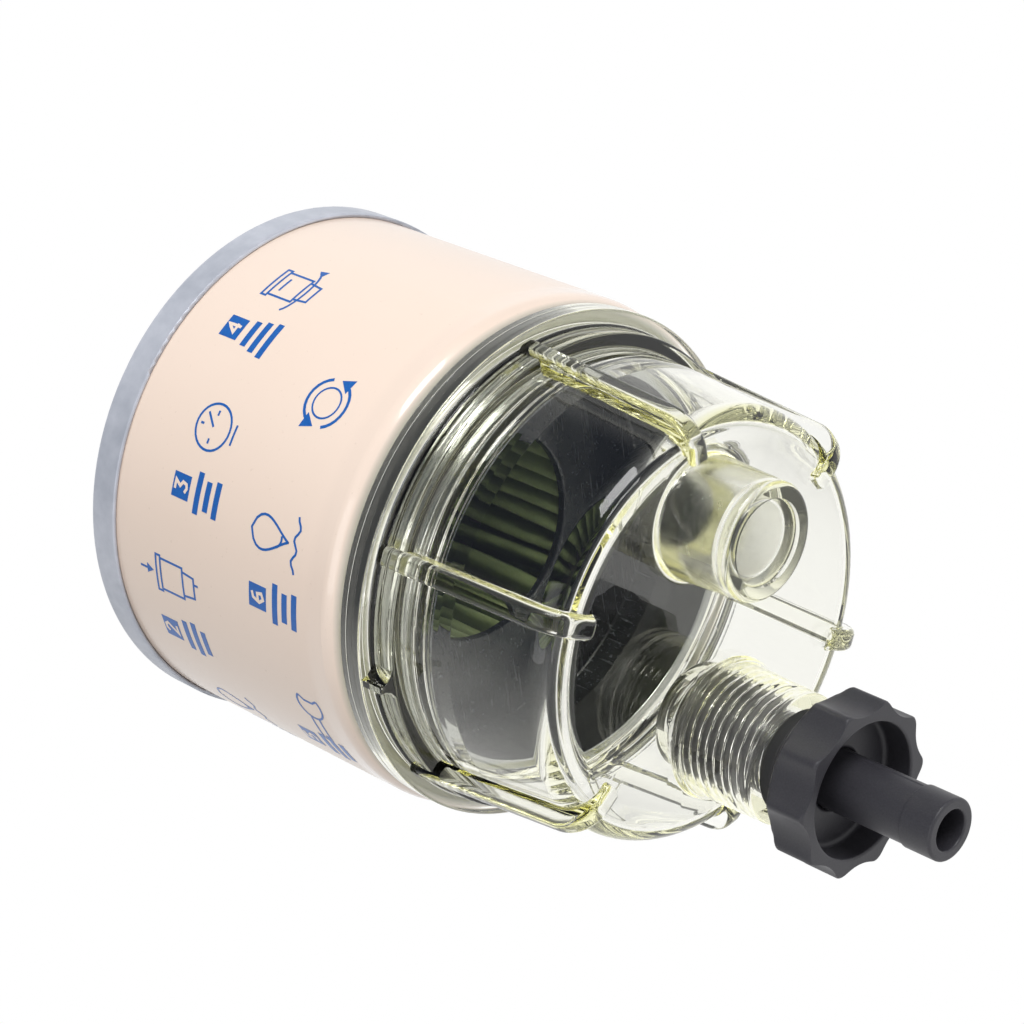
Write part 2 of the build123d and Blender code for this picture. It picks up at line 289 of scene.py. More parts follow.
# %% [markdown]
# The can is coated with a glossy cream enamel. Sprayed paint is never quite flat: a faint orange peel breaks
# up the edge of a highlight, and its tone drifts a little. Under the can, within about a millimetre of its
# bottom, the colour turns a darker grey green. The gloss is strongest on the rounded lower edge.

# %% Enamel of the can
paint = Finish("cream_enamel", Roughness=0.3, Coat_Roughness=0.06)
height = paint.add("SeparateXYZ", {0: paint.place()}, out="Z")


def above_bottom(low, high):
    """Rise from low to high millimetres above the can's bottom."""
    return paint.ramp(height, (can_bottom + low) * MM, (can_bottom + high) * MM)


drift = paint.noise(28, 2)
specks = paint.ramp(paint.noise(1500, 2), 0.70, 0.76)
tone = paint.mix(drift, rgb(0.90, 0.735, 0.62), rgb(0.93, 0.775, 0.665))
coat = paint.mix(specks * 0.25, tone, rgb(0.62, 0.47, 0.37))
# The can's underside, up to about a millimetre above its bottom, is coloured a darker grey green.
underside_grey_green = paint.mix(drift, rgb(0.40, 0.40, 0.34), rgb(0.52, 0.51, 0.44))
paint.set(Base_Color=paint.mix(above_bottom(0.3, 1.2), underside_grey_green, coat), Roughness=0.26 + drift * 0.08,
          Coat_Weight=0.3 + above_bottom(7.0, 5.0) * 0.6)
paint.bump(paint.noise(420, 1.5), 0.00002, 0.5)

ink = Finish("blue_ink", Roughness=0.35, Coat_Weight=0.15)
ink.set(Base_Color=ink.mix(ink.noise(2600, 2), rgb(0.002, 0.08, 0.36), rgb(0.005, 0.155, 0.56)))
print("finishes of the can:", paint, ink)

# %% [markdown]
# Three metals are used. The seam ring is dull galvanised sheet, whose zinc has frozen in faint grey clouds.
# The collar is bright plated and turned on a lathe, so fine lines run round it. The parts inside are zinc
# plated and a little yellow.

# %% Metals
def plated(name, dark, bright, shine, lines):
    """Plated steel whose lathe lines are noise stretched round the axis: quick along Z and slow across."""
    steel = Finish(name, Metallic=1.0)
    turning = steel.noise(60, 4, (1, 1, lines))
    steel.set(Base_Color=steel.mix(turning, dark, bright), Roughness=shine + turning * 0.12)
    steel.bump(turning, 0.000004, 0.5)
    return steel


bright_plate = plated("bright_plate", rgb(0.25, 0.26, 0.25), rgb(0.50, 0.51, 0.50), 0.14, 40)
zinc_plate = plated("zinc_plate", rgb(0.46, 0.44, 0.36), rgb(0.68, 0.66, 0.56), 0.28, 12)
zinc = Finish("galvanised_sheet", Metallic=0.25)
cloud = zinc.noise(45, 3)
shade = zinc.ramp(zinc.noise(330, 4) * 0.5 + cloud * 0.6, 0.38, 0.74)
zinc.set(Base_Color=zinc.mix(shade, rgb(0.45, 0.48, 0.55), rgb(0.64, 0.665, 0.74)),
         Roughness=0.36 + cloud * 0.18)
zinc.bump(zinc.noise(900, 3), 0.00002, 0.6)
print("metals:", bright_plate, zinc_plate, zinc)

# %% [markdown]
# Rubber, paper and the two black plastics hardly shine. Rubber is matt with a fine grain. The paper is
# green, resin treated, fibrous and stained. The end cap is smooth, with fine scratches and dust, and the
# valve is glass-filled nylon, whose skin is satin.

# %% Rubber, paper and black plastics
rubber = Finish("black_rubber", Specular_IOR_Level=0.4)
grain = rubber.noise(2200, 3)
rubber.set(Base_Color=rubber.mix(grain, rgb(0.012, 0.012, 0.013), rgb(0.03, 0.03, 0.032)),
           Roughness=0.5 + grain * 0.2)
rubber.bump(grain, 0.00003, 0.6)

paper = Finish("green_paper", Specular_IOR_Level=0.25, Roughness=0.8)
stain = paper.ramp(paper.noise(110, 4), 0.3, 0.7)
fibre = paper.noise(2600, 4)
green = paper.mix(stain, rgb(0.17, 0.23, 0.08), rgb(0.34, 0.42, 0.18))
paper.set(Base_Color=paper.mix(fibre * 0.5, green, rgb(0.42, 0.47, 0.28)))
paper.bump(fibre, 0.00008, 0.8)

cap = Finish("black_cap", Specular_IOR_Level=0.5)
scratch = cap.ramp(cap.noise(120, 6, (1, 16, 1)), 0.60, 0.72)
dust = cap.ramp(cap.noise(1700, 2), 0.62, 0.72) * cap.ramp(cap.noise(70, 4), 0.35, 0.7)
cap.set(Base_Color=cap.mix(scratch * 0.3 + dust, rgb(0.012, 0.014, 0.018), rgb(0.13, 0.14, 0.165)),
        Roughness=0.22 + scratch * 0.3)
cap.bump(cap.noise(500, 3), 0.00002, 0.5)

nylon = Finish("black_nylon", Specular_IOR_Level=0.5)
grain = nylon.noise(3800, 3)
flow = nylon.noise(140, 3, (1, 1, 0.4))
nylon.set(Base_Color=nylon.mix(grain, rgb(0.021, 0.021, 0.026), rgb(0.052, 0.050, 0.060)),
          Roughness=0.36 + flow * 0.16)
nylon.bump(grain + flow, 0.00002, 0.7)
print("soft and black:", rubber, paper, cap, nylon)

# %% [markdown]
# The bowl is a clear moulding. Its body takes up a little blue and violet, so thick places look yellow green
# and thin ones nearly clear: that is the work of a Volume Absorption node. Cycles doesn't follow light
# through a clear solid to a lamp, so for shadow rays the surface becomes a Transparent BSDF. A mould leaves
# a very faint waviness, and the sensor's pocket is a little frosted.

# %% Clear polymer of the bowl
SENSOR = (19.4, 0.0)
FROST_RADIUS = 6.2
FROST_BLEND = 0.1

clear = Finish("clear_polymer", IOR=1.49, Transmission_Weight=1.0, Base_Color=rgb(1, 1, 1))
sides = {0: clear.place((1, 1, 0)), 1: (SENSOR[0] * MM, 0, 0)}
from_sensor = clear.add("VectorMath", sides, operation="SUBTRACT")
distance = clear.add("VectorMath", {0: from_sensor}, "Value", operation="LENGTH")
pocket = clear.ramp(distance, (FROST_RADIUS + FROST_BLEND) * MM, (FROST_RADIUS - FROST_BLEND) * MM)
clear.set(Roughness=pocket * (0.10 + clear.noise(900, 3) * 0.25))
clear.bump(clear.noise(130, 2), 0.00001, 0.05)
passing = clear.add("BsdfTransparent", {"Color": rgb(0.93, 0.94, 0.84)})
either = clear.add("MixShader", {0: clear.path("Is Shadow Ray"), 1: clear.shader(), 2: passing})
tint = clear.add("VolumeAbsorption", {"Color": rgb(0.985, 0.978, 0.75), "Density": 50.0})
clear.feed(clear.output, {"Surface": either, "Volume": tint})
print("bowl:", clear)

# %% [markdown]
# The imported solids that stay get their finishes now. Assigning to a material slot changes nothing in the
# mesh. A new mesh becomes an object at the origin, shaded smooth, and only edges sharper than 32 degrees
# stay sharp. It rides on a body of the model, gets its finish as its one material, and may hide the imported
# node whose place it takes.

# %% Dress the solids that stay
SHARP = radians(32)
kept = {
    paint: ["can_shell"],
    zinc: ["seam_retainer"],
    zinc_plate: ["tapping_plate", "upper_end_cap", "media_seam_clip"],
    cap: ["lower_end_cap"],
    rubber: ["head_gasket", "centre_grommet", "bowl_seal_ring", "stem_seal_ring", "drain_seal_ring"],
}
for finish, nodes in kept.items():
    for node in nodes:
        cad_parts[node].material_slots[0].material = finish.material
    print(finish, "is on", nodes)


def hold(mesh):
    """Puts a mesh into the scene as an object at the origin."""
    thing = bpy.data.objects.new(mesh.name, mesh)
    bpy.context.scene.collection.objects.link(thing)
    return thing


def show(mesh, body, finish, node=None):
    """Finished mesh as a piece that rides on a body, gets its finish as its one material and may hide a node.
    """
    mesh.materials.clear()
    mesh.materials.append(finish.material)
    mesh.shade_smooth()
    mesh.set_sharp_from_angle(angle=SHARP)
    thing = hold(mesh)
    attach(thing, body)
    if node:
        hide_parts(node)
    print(mesh.name, "has", len(mesh.polygons), "faces")


# %% [markdown]
# Both joints are screw threads. A thread is a ridge that climbs by one pitch each turn, so a point at height
# z and angle a is at phase z / pitch - a / full turn, and the ridge is a pointed wave of that phase. The two
# threads of a pair use the same phase, so they mesh, also as the joint turns and drops. The ridge fades out
# near its ends.

# %% Cut a thread into a grid
TIP = 0.97


def thread(grid, centre, middle, depth, pitch, low, high, fade):
    """Moves the points of a turned grid between two heights to radius middle + depth * wave. The wave is
    asin(tip * sin(phase)) / asin(tip): straight flanks with slightly rounded tips. Outside the heights it
    gives way to fade, -1 for a shaft and 1 for a bore, over half a pitch."""
    x, y, z = grid[..., 0] - centre[0], grid[..., 1] - centre[1], grid[..., 2]
    angle, reached = np.arctan2(y, x), np.hypot(x, y)
    wave = np.arcsin(TIP * np.sin(2 * pi * (z / pitch) - angle)) / np.arcsin(TIP)
    inside = np.clip((z - low) / (pitch / 2), 0, 1) * np.clip((high - z) / (pitch / 2), 0, 1)
    radius = middle + depth * (wave * inside + fade * (1 - inside))
    on_wall = np.abs(reached - middle) < depth / 2
    threaded = (z > low - pitch / 2) & (z < high + pitch / 2) & on_wall
    scale = np.where(threaded, radius / reached.clip(1e-9), 1.0)
    return xyz(centre[0] + x * scale, centre[1] + y * scale, z)


# %% [markdown]
# The collar is a turned ring, welded inside the can's bottom. Its neck carries the thread that the bowl
# screws on, 2 mm from turn to turn, with about a dozen rows to the pitch. The plain flange keeps one row in
# four.

# %% Threaded collar
BOWL_PITCH = 2.0
BOWL_THREAD_DEPTH = 0.4
CAN_WALL = 0.6
COLLAR_RADIUS = 31.6
COLLAR_BORE = 29.7
COLLAR_COLUMNS = 360
collar_flange = reach("threaded_collar")
flange_low = can_bottom + CAN_WALL

neck_rows = profile([
    (COLLAR_BORE, collar_top, 0.5), (collar_flange, collar_top, 0.4), (collar_flange, flange_low),
    (COLLAR_RADIUS, flange_low), (COLLAR_RADIUS, collar_end, 0.6), (COLLAR_BORE, collar_end, 0.3),
], spacing=0.17, closed=True)
wide = neck_rows[:, 0] > COLLAR_RADIUS + 1
neck_rows = neck_rows[~wide | (np.arange(len(neck_rows)) % 4 == 0)]
collar_grid = thread(turn(neck_rows, COLLAR_COLUMNS), CAN_AXIS, COLLAR_RADIUS, BOWL_THREAD_DEPTH, BOWL_PITCH,
                     collar_end + 0.9, can_bottom - 0.5, -1)
collar = sheet_mesh("turned_collar", collar_grid, close_rows=True)
show(collar, "can", bright_plate, "threaded_collar")

# %% [markdown]
# The element is a strip of paper folded to and fro. Seen from above it is a wave between an inner and an
# outer radius, with steep flanks and blunt tips. Real folds aren't even, so the wave drifts a little round
# the ring and along its height, and some folds reach further in than others, apart from the seam, where a
# clip joins the two ends. The strip has a front and a back, half its thickness to each side of the wave.

# %% Pleated paper
PLEATS = 36
POINTS_A_PLEAT = 36
PAPER = 0.6
PAPER_INNER = 16.85
STEEPNESS = 2.6
SEAM = pi / 2
SEAM_WIDTH = 0.25
paper_outer = reach("pleated_media") - PAPER / 2


def pleat_wave(count, rows, seed=7):
    """Middle line of the paper at each height. The radius is the middle radius plus the reach times
    tanh(k sin(phase)) / tanh(k), and the drift adds slow waves of small size, none at the seam."""
    rng = np.random.default_rng(seed)
    angle = np.linspace(0, 2 * pi, count * POINTS_A_PLEAT, endpoint=False)
    height = np.linspace(media_bottom, media_top, rows)[:, None]
    away = 1 - np.exp(-((angle - SEAM) / SEAM_WIDTH) ** 2)
    drift = np.zeros((rows, len(angle)))
    for turns in (3, 7, 11, 17):
        lean = rng.uniform(-0.12, 0.12)
        drift += rng.uniform(0.009, 0.020) * np.sin(turns * angle + rng.uniform(0, 2 * pi) + lean * height)
    bent = angle + drift * away
    phase = count * angle - count * SEAM + pi / 2
    fold = np.tanh(STEEPNESS * np.sin(phase)) / np.tanh(STEEPNESS)
    uneven = np.interp(angle, np.linspace(0, 2 * pi, count + 1), rng.uniform(0, 2.4, count + 1))
    inner = PAPER_INNER + uneven * away
    radius = (paper_outer + inner) / 2 + (paper_outer - inner) / 2 * fold
    return xyz(radius * np.cos(bent), radius * np.sin(bent), height)


def thicken(middle, thickness):
    """Closed grid with a front and a back, half the thickness along the normal in XY to each side."""
    along = np.roll(middle, -1, axis=1) - np.roll(middle, 1, axis=1)
    step = unit(xyz(along[..., 1], -along[..., 0], 0)) * thickness / 2
    return np.concatenate([middle + step, (middle - step)[::-1]])


pleats = sheet_mesh("paper_pleats", thicken(pleat_wave(PLEATS, 14), PAPER), close_rows=True)
show(pleats, "can", paper, "pleated_media")

# %% [markdown]
# The bowl is one moulding, built as the mould maker would: a turned wall with its stepped flange, then the
# ribs, the pointer lug and the two bosses joined on, and last the bores and the sensor's pocket cut out. The
# groove under the can holds the seal ring.

# %% Turned wall of the bowl
BORE = 31.65
BOWL_WALL = 2.5
BOWL_CORNER = 5.0
INNER_CORNER = 0.9
STEP_RADIUS = 36.8
SHOULDER_RADIUS = 34.5
WAIST_RADIUS = 34.3
FOOT_RADIUS = 32.5
GROOVE_INNER, GROOVE_OUTER = 33.3, 36.8
WALL_COLUMNS = 240
flange_radius = reach("bowl", 1)
flange_bottom = flange_top - 4.0
step_bottom = flange_bottom - 4.1
waist = step_bottom - 6.7
floor_outside = flange_top - 35.8
floor_inside = floor_outside + BOWL_WALL
thread_end = flange_top - 12.5
groove_floor = flange_top - 2.6

wall_outside = profile([
    (0, floor_outside), (FOOT_RADIUS, floor_outside, BOWL_CORNER), (WAIST_RADIUS, waist),
    (SHOULDER_RADIUS, step_bottom, 0.6), (STEP_RADIUS, step_bottom, 0.5), (STEP_RADIUS, flange_bottom, 0.5),
    (flange_radius, flange_bottom, 0.4), (flange_radius, flange_top, 0.3), (GROOVE_OUTER, flange_top, 0.15),
    (GROOVE_OUTER, groove_floor, 0.3), (GROOVE_INNER, groove_floor, 0.3), (GROOVE_INNER, flange_top, 0.15),
    (BORE, flange_top, 0.3),
], steps=8)
wall_thread = profile([(BORE, flange_top - 0.5), (BORE, thread_end)], spacing=0.2)
wall_inside = profile([
    (BORE, thread_end + 0.3), (WAIST_RADIUS - BOWL_WALL, waist - 1.0, 0.4),
    (FOOT_RADIUS - BOWL_WALL, floor_inside, INNER_CORNER), (0, floor_inside),
], steps=10)
wall_rows = np.concatenate([wall_outside, wall_thread, wall_inside])
shell_grid = thread(turn(wall_rows, WALL_COLUMNS), CAN_AXIS, BORE, BOWL_THREAD_DEPTH, BOWL_PITCH,
                    thread_end + 0.6, flange_top - 1.2, 1)
shell = sheet_mesh("clear_bowl", shell_grid)
print("turned wall", len(shell.polygons), "faces")

# %% [markdown]
# Six ribs run from the flange down the wall and round the corner, and end blunt on the floor. A rib is a
# section carried along two paths: the outer path is its crest, and the inner path lies inside the wall. Each
# point of the section has a side step and a depth below the crest, towards the inner path.

# %% Ribs
RIB_COUNT = 6
RIB_HALF = 1.65
RIB_EDGE = 1.0
RIB_FILLET = 0.7
RIB_BURY = 1.2
RIB_CORNER = 6.0
RIB_TOP_RADIUS = 37.8
RIB_FOOT_RADIUS = FOOT_RADIUS + 2.6
RIB_END_RADIUS = 26.6
rib_start = flange_bottom + 0.5
rib_crest_low = floor_outside - 1.2


def rib_paths():
    """Crest and inner path of a rib as points (radius, height), one for one along both."""
    buried = floor_outside + RIB_BURY
    outer = [(RIB_TOP_RADIUS, rib_start), (RIB_FOOT_RADIUS, rib_crest_low), (RIB_END_RADIUS, rib_crest_low)]
    inner = [(SHOULDER_RADIUS - RIB_BURY, rib_start), (FOOT_RADIUS - RIB_BURY, buried),
             (RIB_END_RADIUS, buried)]
    paths = []
    for corners, rounding in ((outer, RIB_CORNER), (inner, BOWL_CORNER - RIB_BURY)):
        start, bend, end = np.array(corners)
        arc = corner_arc(start, bend, end, rounding, 20)
        down = start + np.linspace(0, 1, 24)[:-1, None] * (arc[0] - start)
        across = arc[-1] + (1 - np.linspace(1, 0, 18)[1:, None] ** 2) * (end - arc[-1])
        paths.append(np.concatenate([down, arc, across]))
    return paths


def rib_section(depth, shrink):
    """Section of a rib as (side step, depth below the crest): a flat crest, rounded edges, straight flanks
    and a flared foot. Shrink pulls the crest and flanks in, which rounds the blunt end."""
    half = RIB_HALF - shrink
    turn_out = np.linspace(0, pi / 2, 6)
    root = depth - RIB_BURY + 0.12
    edge_y = half - RIB_EDGE + RIB_EDGE * np.sin(turn_out)
    edge_d = shrink + RIB_EDGE - RIB_EDGE * np.cos(turn_out)
    foot_y = half + RIB_FILLET - RIB_FILLET * np.cos(turn_out)
    foot_d = root - RIB_FILLET + RIB_FILLET * np.sin(turn_out)
    side_y = np.concatenate([edge_y, foot_y, [half + RIB_FILLET]])
    side_d = np.concatenate([edge_d, foot_d, [depth]])
    return np.concatenate([side_y, -side_y[::-1]]), np.concatenate([side_d, side_d[::-1]])


def rib_grid():
    """Grid of one rib along +X: each row is the section at one place of the paths, with both ends closed."""
    crest, inside = rib_paths()
    depth, inward = np.linalg.norm(inside - crest, axis=1), unit(inside - crest)
    to_end = np.linalg.norm(crest - crest[-1], axis=1)
    shrink = RIB_EDGE - np.sqrt(RIB_EDGE ** 2 - np.clip(RIB_EDGE - to_end, 0, RIB_EDGE * 0.98) ** 2)
    rows = []
    for spot, direction, deep, less in zip(crest, inward, depth, shrink * 0.8):
        side, down = rib_section(deep, less)
        flat = spot + down[:, None] * direction
        rows.append(xyz(flat[:, 0], side, flat[:, 1]))
    ends = [np.broadcast_to(row.mean(axis=0), row.shape) for row in (rows[0], rows[-1])]
    return np.stack([ends[0], *rows, ends[1]])


def about_axis(grid, angle):
    """Grid turned about Z by an angle in radians."""
    spin = np.array([[cos(angle), -sin(angle), 0], [sin(angle), cos(angle), 0], [0, 0, 1]])
    return grid @ spin.T


rib = rib_grid()
ribs = [sheet_mesh("rib", about_axis(rib, side * 2 * pi / RIB_COUNT)) for side in range(RIB_COUNT)]
print(RIB_COUNT, "ribs have", len(ribs[0].polygons), "faces each")

# %% [markdown]
# A small fan-shaped lug under the flange is a mark for the fitter. Its outline is wide at the step, narrows
# along a curve to a tip at the flange's edge, and is carried straight down.

# %% Pointer lug
LUG_ANGLE = radians(271)
LUG_ROOT_HALF, LUG_TIP_HALF = 3.0, 0.55


def lug_grid():
    """Closed outline in XY carried through the heights; half width = tip + (root - tip) * rest ** 2.4, where
    rest goes from 1 at the root to 0 at the tip."""
    rest = np.linspace(1, 0, 14)
    root, tip = STEP_RADIUS - 0.6, flange_radius - 0.1
    half = LUG_TIP_HALF + (LUG_ROOT_HALF - LUG_TIP_HALF) * rest ** 2.4
    out = tip + (root - tip) * rest
    outline = np.concatenate([np.stack([out, half], axis=-1), np.stack([out, -half], axis=-1)[::-1]])
    middle = outline.mean(axis=0)
    low, high = step_bottom + 0.1, flange_bottom + 0.5
    rows = []
    for height, pull in ((low, 0.0), (low, 0.9), (low + 0.15, 1.0), (high, 1.0), (high, 0.0)):
        flat = middle + (outline - middle) * pull
        rows.append(xyz(flat[:, 0], flat[:, 1], height))
    return about_axis(np.stack(rows), LUG_ANGLE)


lug = sheet_mesh("lug", lug_grid())
print("the lug has", len(lug.polygons), "faces")

# %% [markdown]
# The blind sensor boss and the drain boss are turned shapes with their own axes. Each is a solid plug on the
# floor first, with a fillet at its foot. The sensor's pocket is cut from inside and its shallow seat from
# below.

# %% Bosses of the bowl
DRAIN = (-16.25, 0.0)
DRAIN_PITCH = 1.5
DRAIN_THREAD_DEPTH = 0.35
DRAIN_BORE = 6.65
TOWER_RADIUS = 8.0
SEAT_HOLE = 4.2
sensor_end = floor_outside - 12.35
boss_end = floor_outside - 13.8
seat_level = floor_inside + 3.2
tower_top = floor_inside + 5.0
bury = floor_outside + 1.0


def turned_solid(name, corners, centre, columns=144, **options):
    """Closed turned mesh whose profile starts and ends on its own axis."""
    return sheet_mesh(name, turn(profile(corners, **options), columns, centre))


sensor_boss = turned_solid("sensor_boss", [
    (0, sensor_end), (8.8, sensor_end, 0.9), (9.27, floor_outside, 1.0), (10.6, floor_outside + 0.02),
    (10.6, bury), (0, bury),
], SENSOR, steps=8)
sensor_seat = turned_solid("sensor_seat", [
    (0, sensor_end + 0.9), (6.4, sensor_end + 0.9, 0.35), (6.5, sensor_end - 0.3), (6.5, sensor_end - 1.0),
    (0, sensor_end - 1.0),
], SENSOR)
sensor_pocket = turned_solid("sensor_pocket", [
    (0, sensor_end + 3.1), (5.9, sensor_end + 3.1, 0.8), (5.95, floor_inside + 1.0), (0, floor_inside + 1.0),
], SENSOR)
drain_boss = turned_solid("drain_boss", [
    (0, boss_end), (10.0, boss_end, 0.5), (10.3, floor_outside - 1.2, 0.25), (10.8, floor_outside - 1.2, 0.3),
    (10.8, floor_outside, 0.4), (11.6, floor_outside + 0.02), (11.6, bury), (0, bury),
], DRAIN, steps=6)
tower = turned_solid("tower", [
    (0, bury - 0.5), (TOWER_RADIUS, bury - 0.5), (TOWER_RADIUS, tower_top, 0.4), (0, tower_top),
], DRAIN)
seat_hole = turned_solid("seat_hole", [
    (0, seat_level - 1), (SEAT_HOLE, seat_level - 1), (SEAT_HOLE, tower_top + 1), (0, tower_top + 1),
], DRAIN, columns=96)

# %% [markdown]
# The drain's bore has close rows for its thread, 1.5 mm from turn to turn, and ends at the seat in the
# tower. On its two flat ends only the pole and the rim are kept.

# %% Threaded bore of the drain boss
bore_profile = profile([(0, boss_end - 1), (DRAIN_BORE, boss_end - 1), (DRAIN_BORE, seat_level),
                        (0, seat_level)], spacing=0.14)
on_wall = bore_profile[:, 0] > DRAIN_BORE - 0.01
bore_profile = bore_profile[on_wall | (bore_profile[:, 0] < 0.01)]
bore_grid = thread(turn(bore_profile, 128, DRAIN), DRAIN, DRAIN_BORE, DRAIN_THREAD_DEPTH, DRAIN_PITCH,
                   boss_end + 0.6, seat_level - 0.9, 1)
drain_bore = sheet_mesh("drain_bore", bore_grid)
print("the bore's cutter has", len(drain_bore.polygons), "faces")

# %% [markdown]
# The bowl's simple closed shapes are joined and cut by Blender's Boolean modifier, whose Manifold solver is
# quick and exact on closed meshes. The result is read back as a plain mesh, so no modifier stays on the
# piece. Joining comes first, so that the bores also go through what was joined.

# %% One clear moulding
def combine(body, operation, *tools):
    """Joins closed meshes to a mesh (UNION) or cuts them from it (DIFFERENCE), one after the other."""
    name = body.name
    for tool in tools:
        block, cutter = hold(body), hold(tool)
        step = block.modifiers.new("step", "BOOLEAN")
        step.solver = "MANIFOLD"
        step.operation = operation
        step.object = cutter
        bpy.context.view_layer.update()
        evaluated = block.evaluated_get(bpy.context.evaluated_depsgraph_get())
        body = bpy.data.meshes.new_from_object(evaluated)
        for used in (cutter, block):
            bpy.data.meshes.remove(used.data)
    body.name = name
    return body


moulding = combine(shell, "UNION", *ribs, lug, sensor_boss, drain_boss, tower)
moulding = combine(moulding, "DIFFERENCE", sensor_seat, sensor_pocket, seat_hole, drain_bore)
show(moulding, "bowl", clear, "bowl")

# %% [markdown]
# The drain valve is one black moulding too. Its nose has a groove for a seal ring, its stem has the thread,
# the knob is a cup, and the hose tube has a low collar at its end and a bore that goes on into the stem.

# %% Profile of the drain valve
NOSE, NOSE_GROOVE = 3.6, 2.75
STEM = 6.6
NECK = 5.8
KNOB, KNOB_BACK, CUP = 13.2, 8.0, 10.2
HOSE, HOSE_COLLAR, HOSE_BORE = 4.45, 4.7, 3.05
stem_top = seat_level - 0.5
knob_back = boss_end - 2.4
knob_front = knob_back - 10.3
cup_floor = knob_front + 4.8
port_level = stem_top - 8.5
hose_collar_top = valve_low + 5.5
thread_low = boss_end + 1.0
groove_top, groove_low = stem_top + 2.15, stem_top + 0.65

nose = profile([(0, nose_top), (NOSE, nose_top, 0.3), (NOSE, groove_top), (NOSE_GROOVE, groove_top),
                (NOSE_GROOVE, groove_low), (NOSE, groove_low), (NOSE, stem_top),
                (STEM, stem_top, 0.6)], steps=3)
stem = profile([(STEM, stem_top - 0.62), (STEM, thread_low)], spacing=0.13)
knob = profile([(NECK, thread_low), (NECK, knob_back), (KNOB_BACK, knob_back, 0.5),
                (KNOB, knob_back - 3.8, 0.9), (KNOB, knob_front, 0.5), (CUP, knob_front, 0.4),
                (CUP, cup_floor, 0.8), (HOSE, cup_floor, 0.6)], spacing=1.2, steps=5)
hose = profile([(HOSE, cup_floor - 1), (HOSE, hose_collar_top), (HOSE_COLLAR, hose_collar_top, 0.1),
                (HOSE_COLLAR, valve_low, 0.4), (HOSE_BORE, valve_low, 0.3), (HOSE_BORE, port_level),
                (0, port_level)], spacing=1.6, steps=4)
valve_profile = np.concatenate([nose, stem, knob, hose])
print("valve profile", len(valve_profile), "points")

# %% [markdown]
# The knob has ten scallops. Its surface is the lesser of the turned radius and the distance from the axis to
# the scallop's circle, taken softly, so that the ridges have small rounded edges. Two thin fins along the
# hose tube are where the halves of its mould met.

# %% Knob, thread and fins
LOBES = 10
SCALLOP = 7.2
VALLEY = 11.7
KNOB_PHASE = radians(46.7)
SOFT = 70
FIN_ANGLE, FIN_WIDTH, FIN_HEIGHT = radians(20), radians(2.5), 0.13
VALVE_COLUMNS = 320


def scallop_reach(angle):
    """Distance from the axis to the scallop circles: D cos(a) - sqrt(rho^2 - D^2 sin(a)^2), with a measured
    from the nearest scallop's middle."""
    from_middle = np.mod(angle - KNOB_PHASE + pi / LOBES, 2 * pi / LOBES) - pi / LOBES
    centre = VALLEY + SCALLOP
    return centre * np.cos(from_middle) - np.sqrt(SCALLOP ** 2 - (centre * np.sin(from_middle)) ** 2)


def shape_valve(grid):
    """Scallops the knob's rows on a turned grid about Z, where the softer of two radii a and b is
    (a^-n + b^-n)^(-1/n), and raises the hose tube's fins as narrow bells of the angle."""
    x, y, z = grid[..., 0], grid[..., 1], grid[..., 2]
    radius, angle = np.hypot(x, y), np.arctan2(y, x)
    limit = scallop_reach(angle)
    softer = (radius.clip(1e-3) ** -SOFT + limit ** -SOFT) ** (-1 / SOFT)
    on_knob = (z < knob_back + 0.01) & (z > knob_front - 0.01) & (radius > KNOB_BACK - 0.5)
    fin = np.exp(-((np.mod(angle - FIN_ANGLE + pi / 2, pi) - pi / 2) / FIN_WIDTH) ** 2)
    on_hose = (z < cup_floor - 1) & (z > hose_collar_top + 0.05) & (np.abs(radius - HOSE) < 0.15)
    wanted = np.where(on_knob, softer, radius + FIN_HEIGHT * fin * on_hose)
    scale = np.where(radius > 1e-6, wanted / radius.clip(1e-6), 1.0)
    return xyz(x * scale + DRAIN[0], y * scale + DRAIN[1], z)


valve_grid = thread(shape_valve(turn(valve_profile, VALVE_COLUMNS)), DRAIN, STEM, DRAIN_THREAD_DEPTH,
                    DRAIN_PITCH, thread_low + 0.5, stem_top - 1.2, -1)
valve = sheet_mesh("black_valve", valve_grid)
print("the uncut valve has", len(valve.polygons), "faces")

# %% [markdown]
# Two slots in the stem and a cross hole let the water into the bore, and air back into the bowl. Each cutter
# is an outline in XZ: a circle whose halves are drawn apart for a slot, and a circle for the hole.

# %% Slots and port of the stem
SLOT_HALF = 0.8
SLOT_LENGTH = 12.2
PORT_RADIUS = 1.2
port_centre = port_level - 2.4
round_turn = np.linspace(0, 2 * pi, 32, endpoint=False)


def cutter(name, x, z, near, far):
    """Outline in XZ carried along Y from near to far, and drawn in to its middle at both ends."""
    rows = []
    for y, pull in ((near, 0), (near, 1), (far, 1), (far, 0)):
        rows.append(xyz(DRAIN[0] + (x - DRAIN[0]) * pull, y, z.mean() + (z - z.mean()) * pull))
    return sheet_mesh(name, np.stack(rows))


slot_x = DRAIN[0] + SLOT_HALF * np.cos(round_turn)
slot_ends = np.where(np.sin(round_turn) > 0, stem_top + 1, stem_top - SLOT_LENGTH)
slot_z = SLOT_HALF * np.sin(round_turn) + slot_ends
slots = [cutter("slot", slot_x, slot_z, side * (STEM - 1.2), side * (STEM + 1)) for side in (1, -1)]
port = cutter("port", DRAIN[0] + PORT_RADIUS * np.cos(round_turn),
              port_centre + PORT_RADIUS * np.sin(round_turn), -9.0, 9.0)
show(combine(valve, "DIFFERENCE", *slots, port), "drain_valve", nylon, "drain_valve")

# %% [markdown]
# The can carries a blue print with short instructions. Here it is a generic design: numbered squares, bars
# in place of words and simple line pictures, all of real strokes. The two edges of a stroke lie half its
# width to each side of a line. The strokes are drawn flat, in millimetres, and then wrapped on the can: the
# way across becomes an angle, and the height stays.

# %% Draw strokes and fields
INK_STEP = 0.8


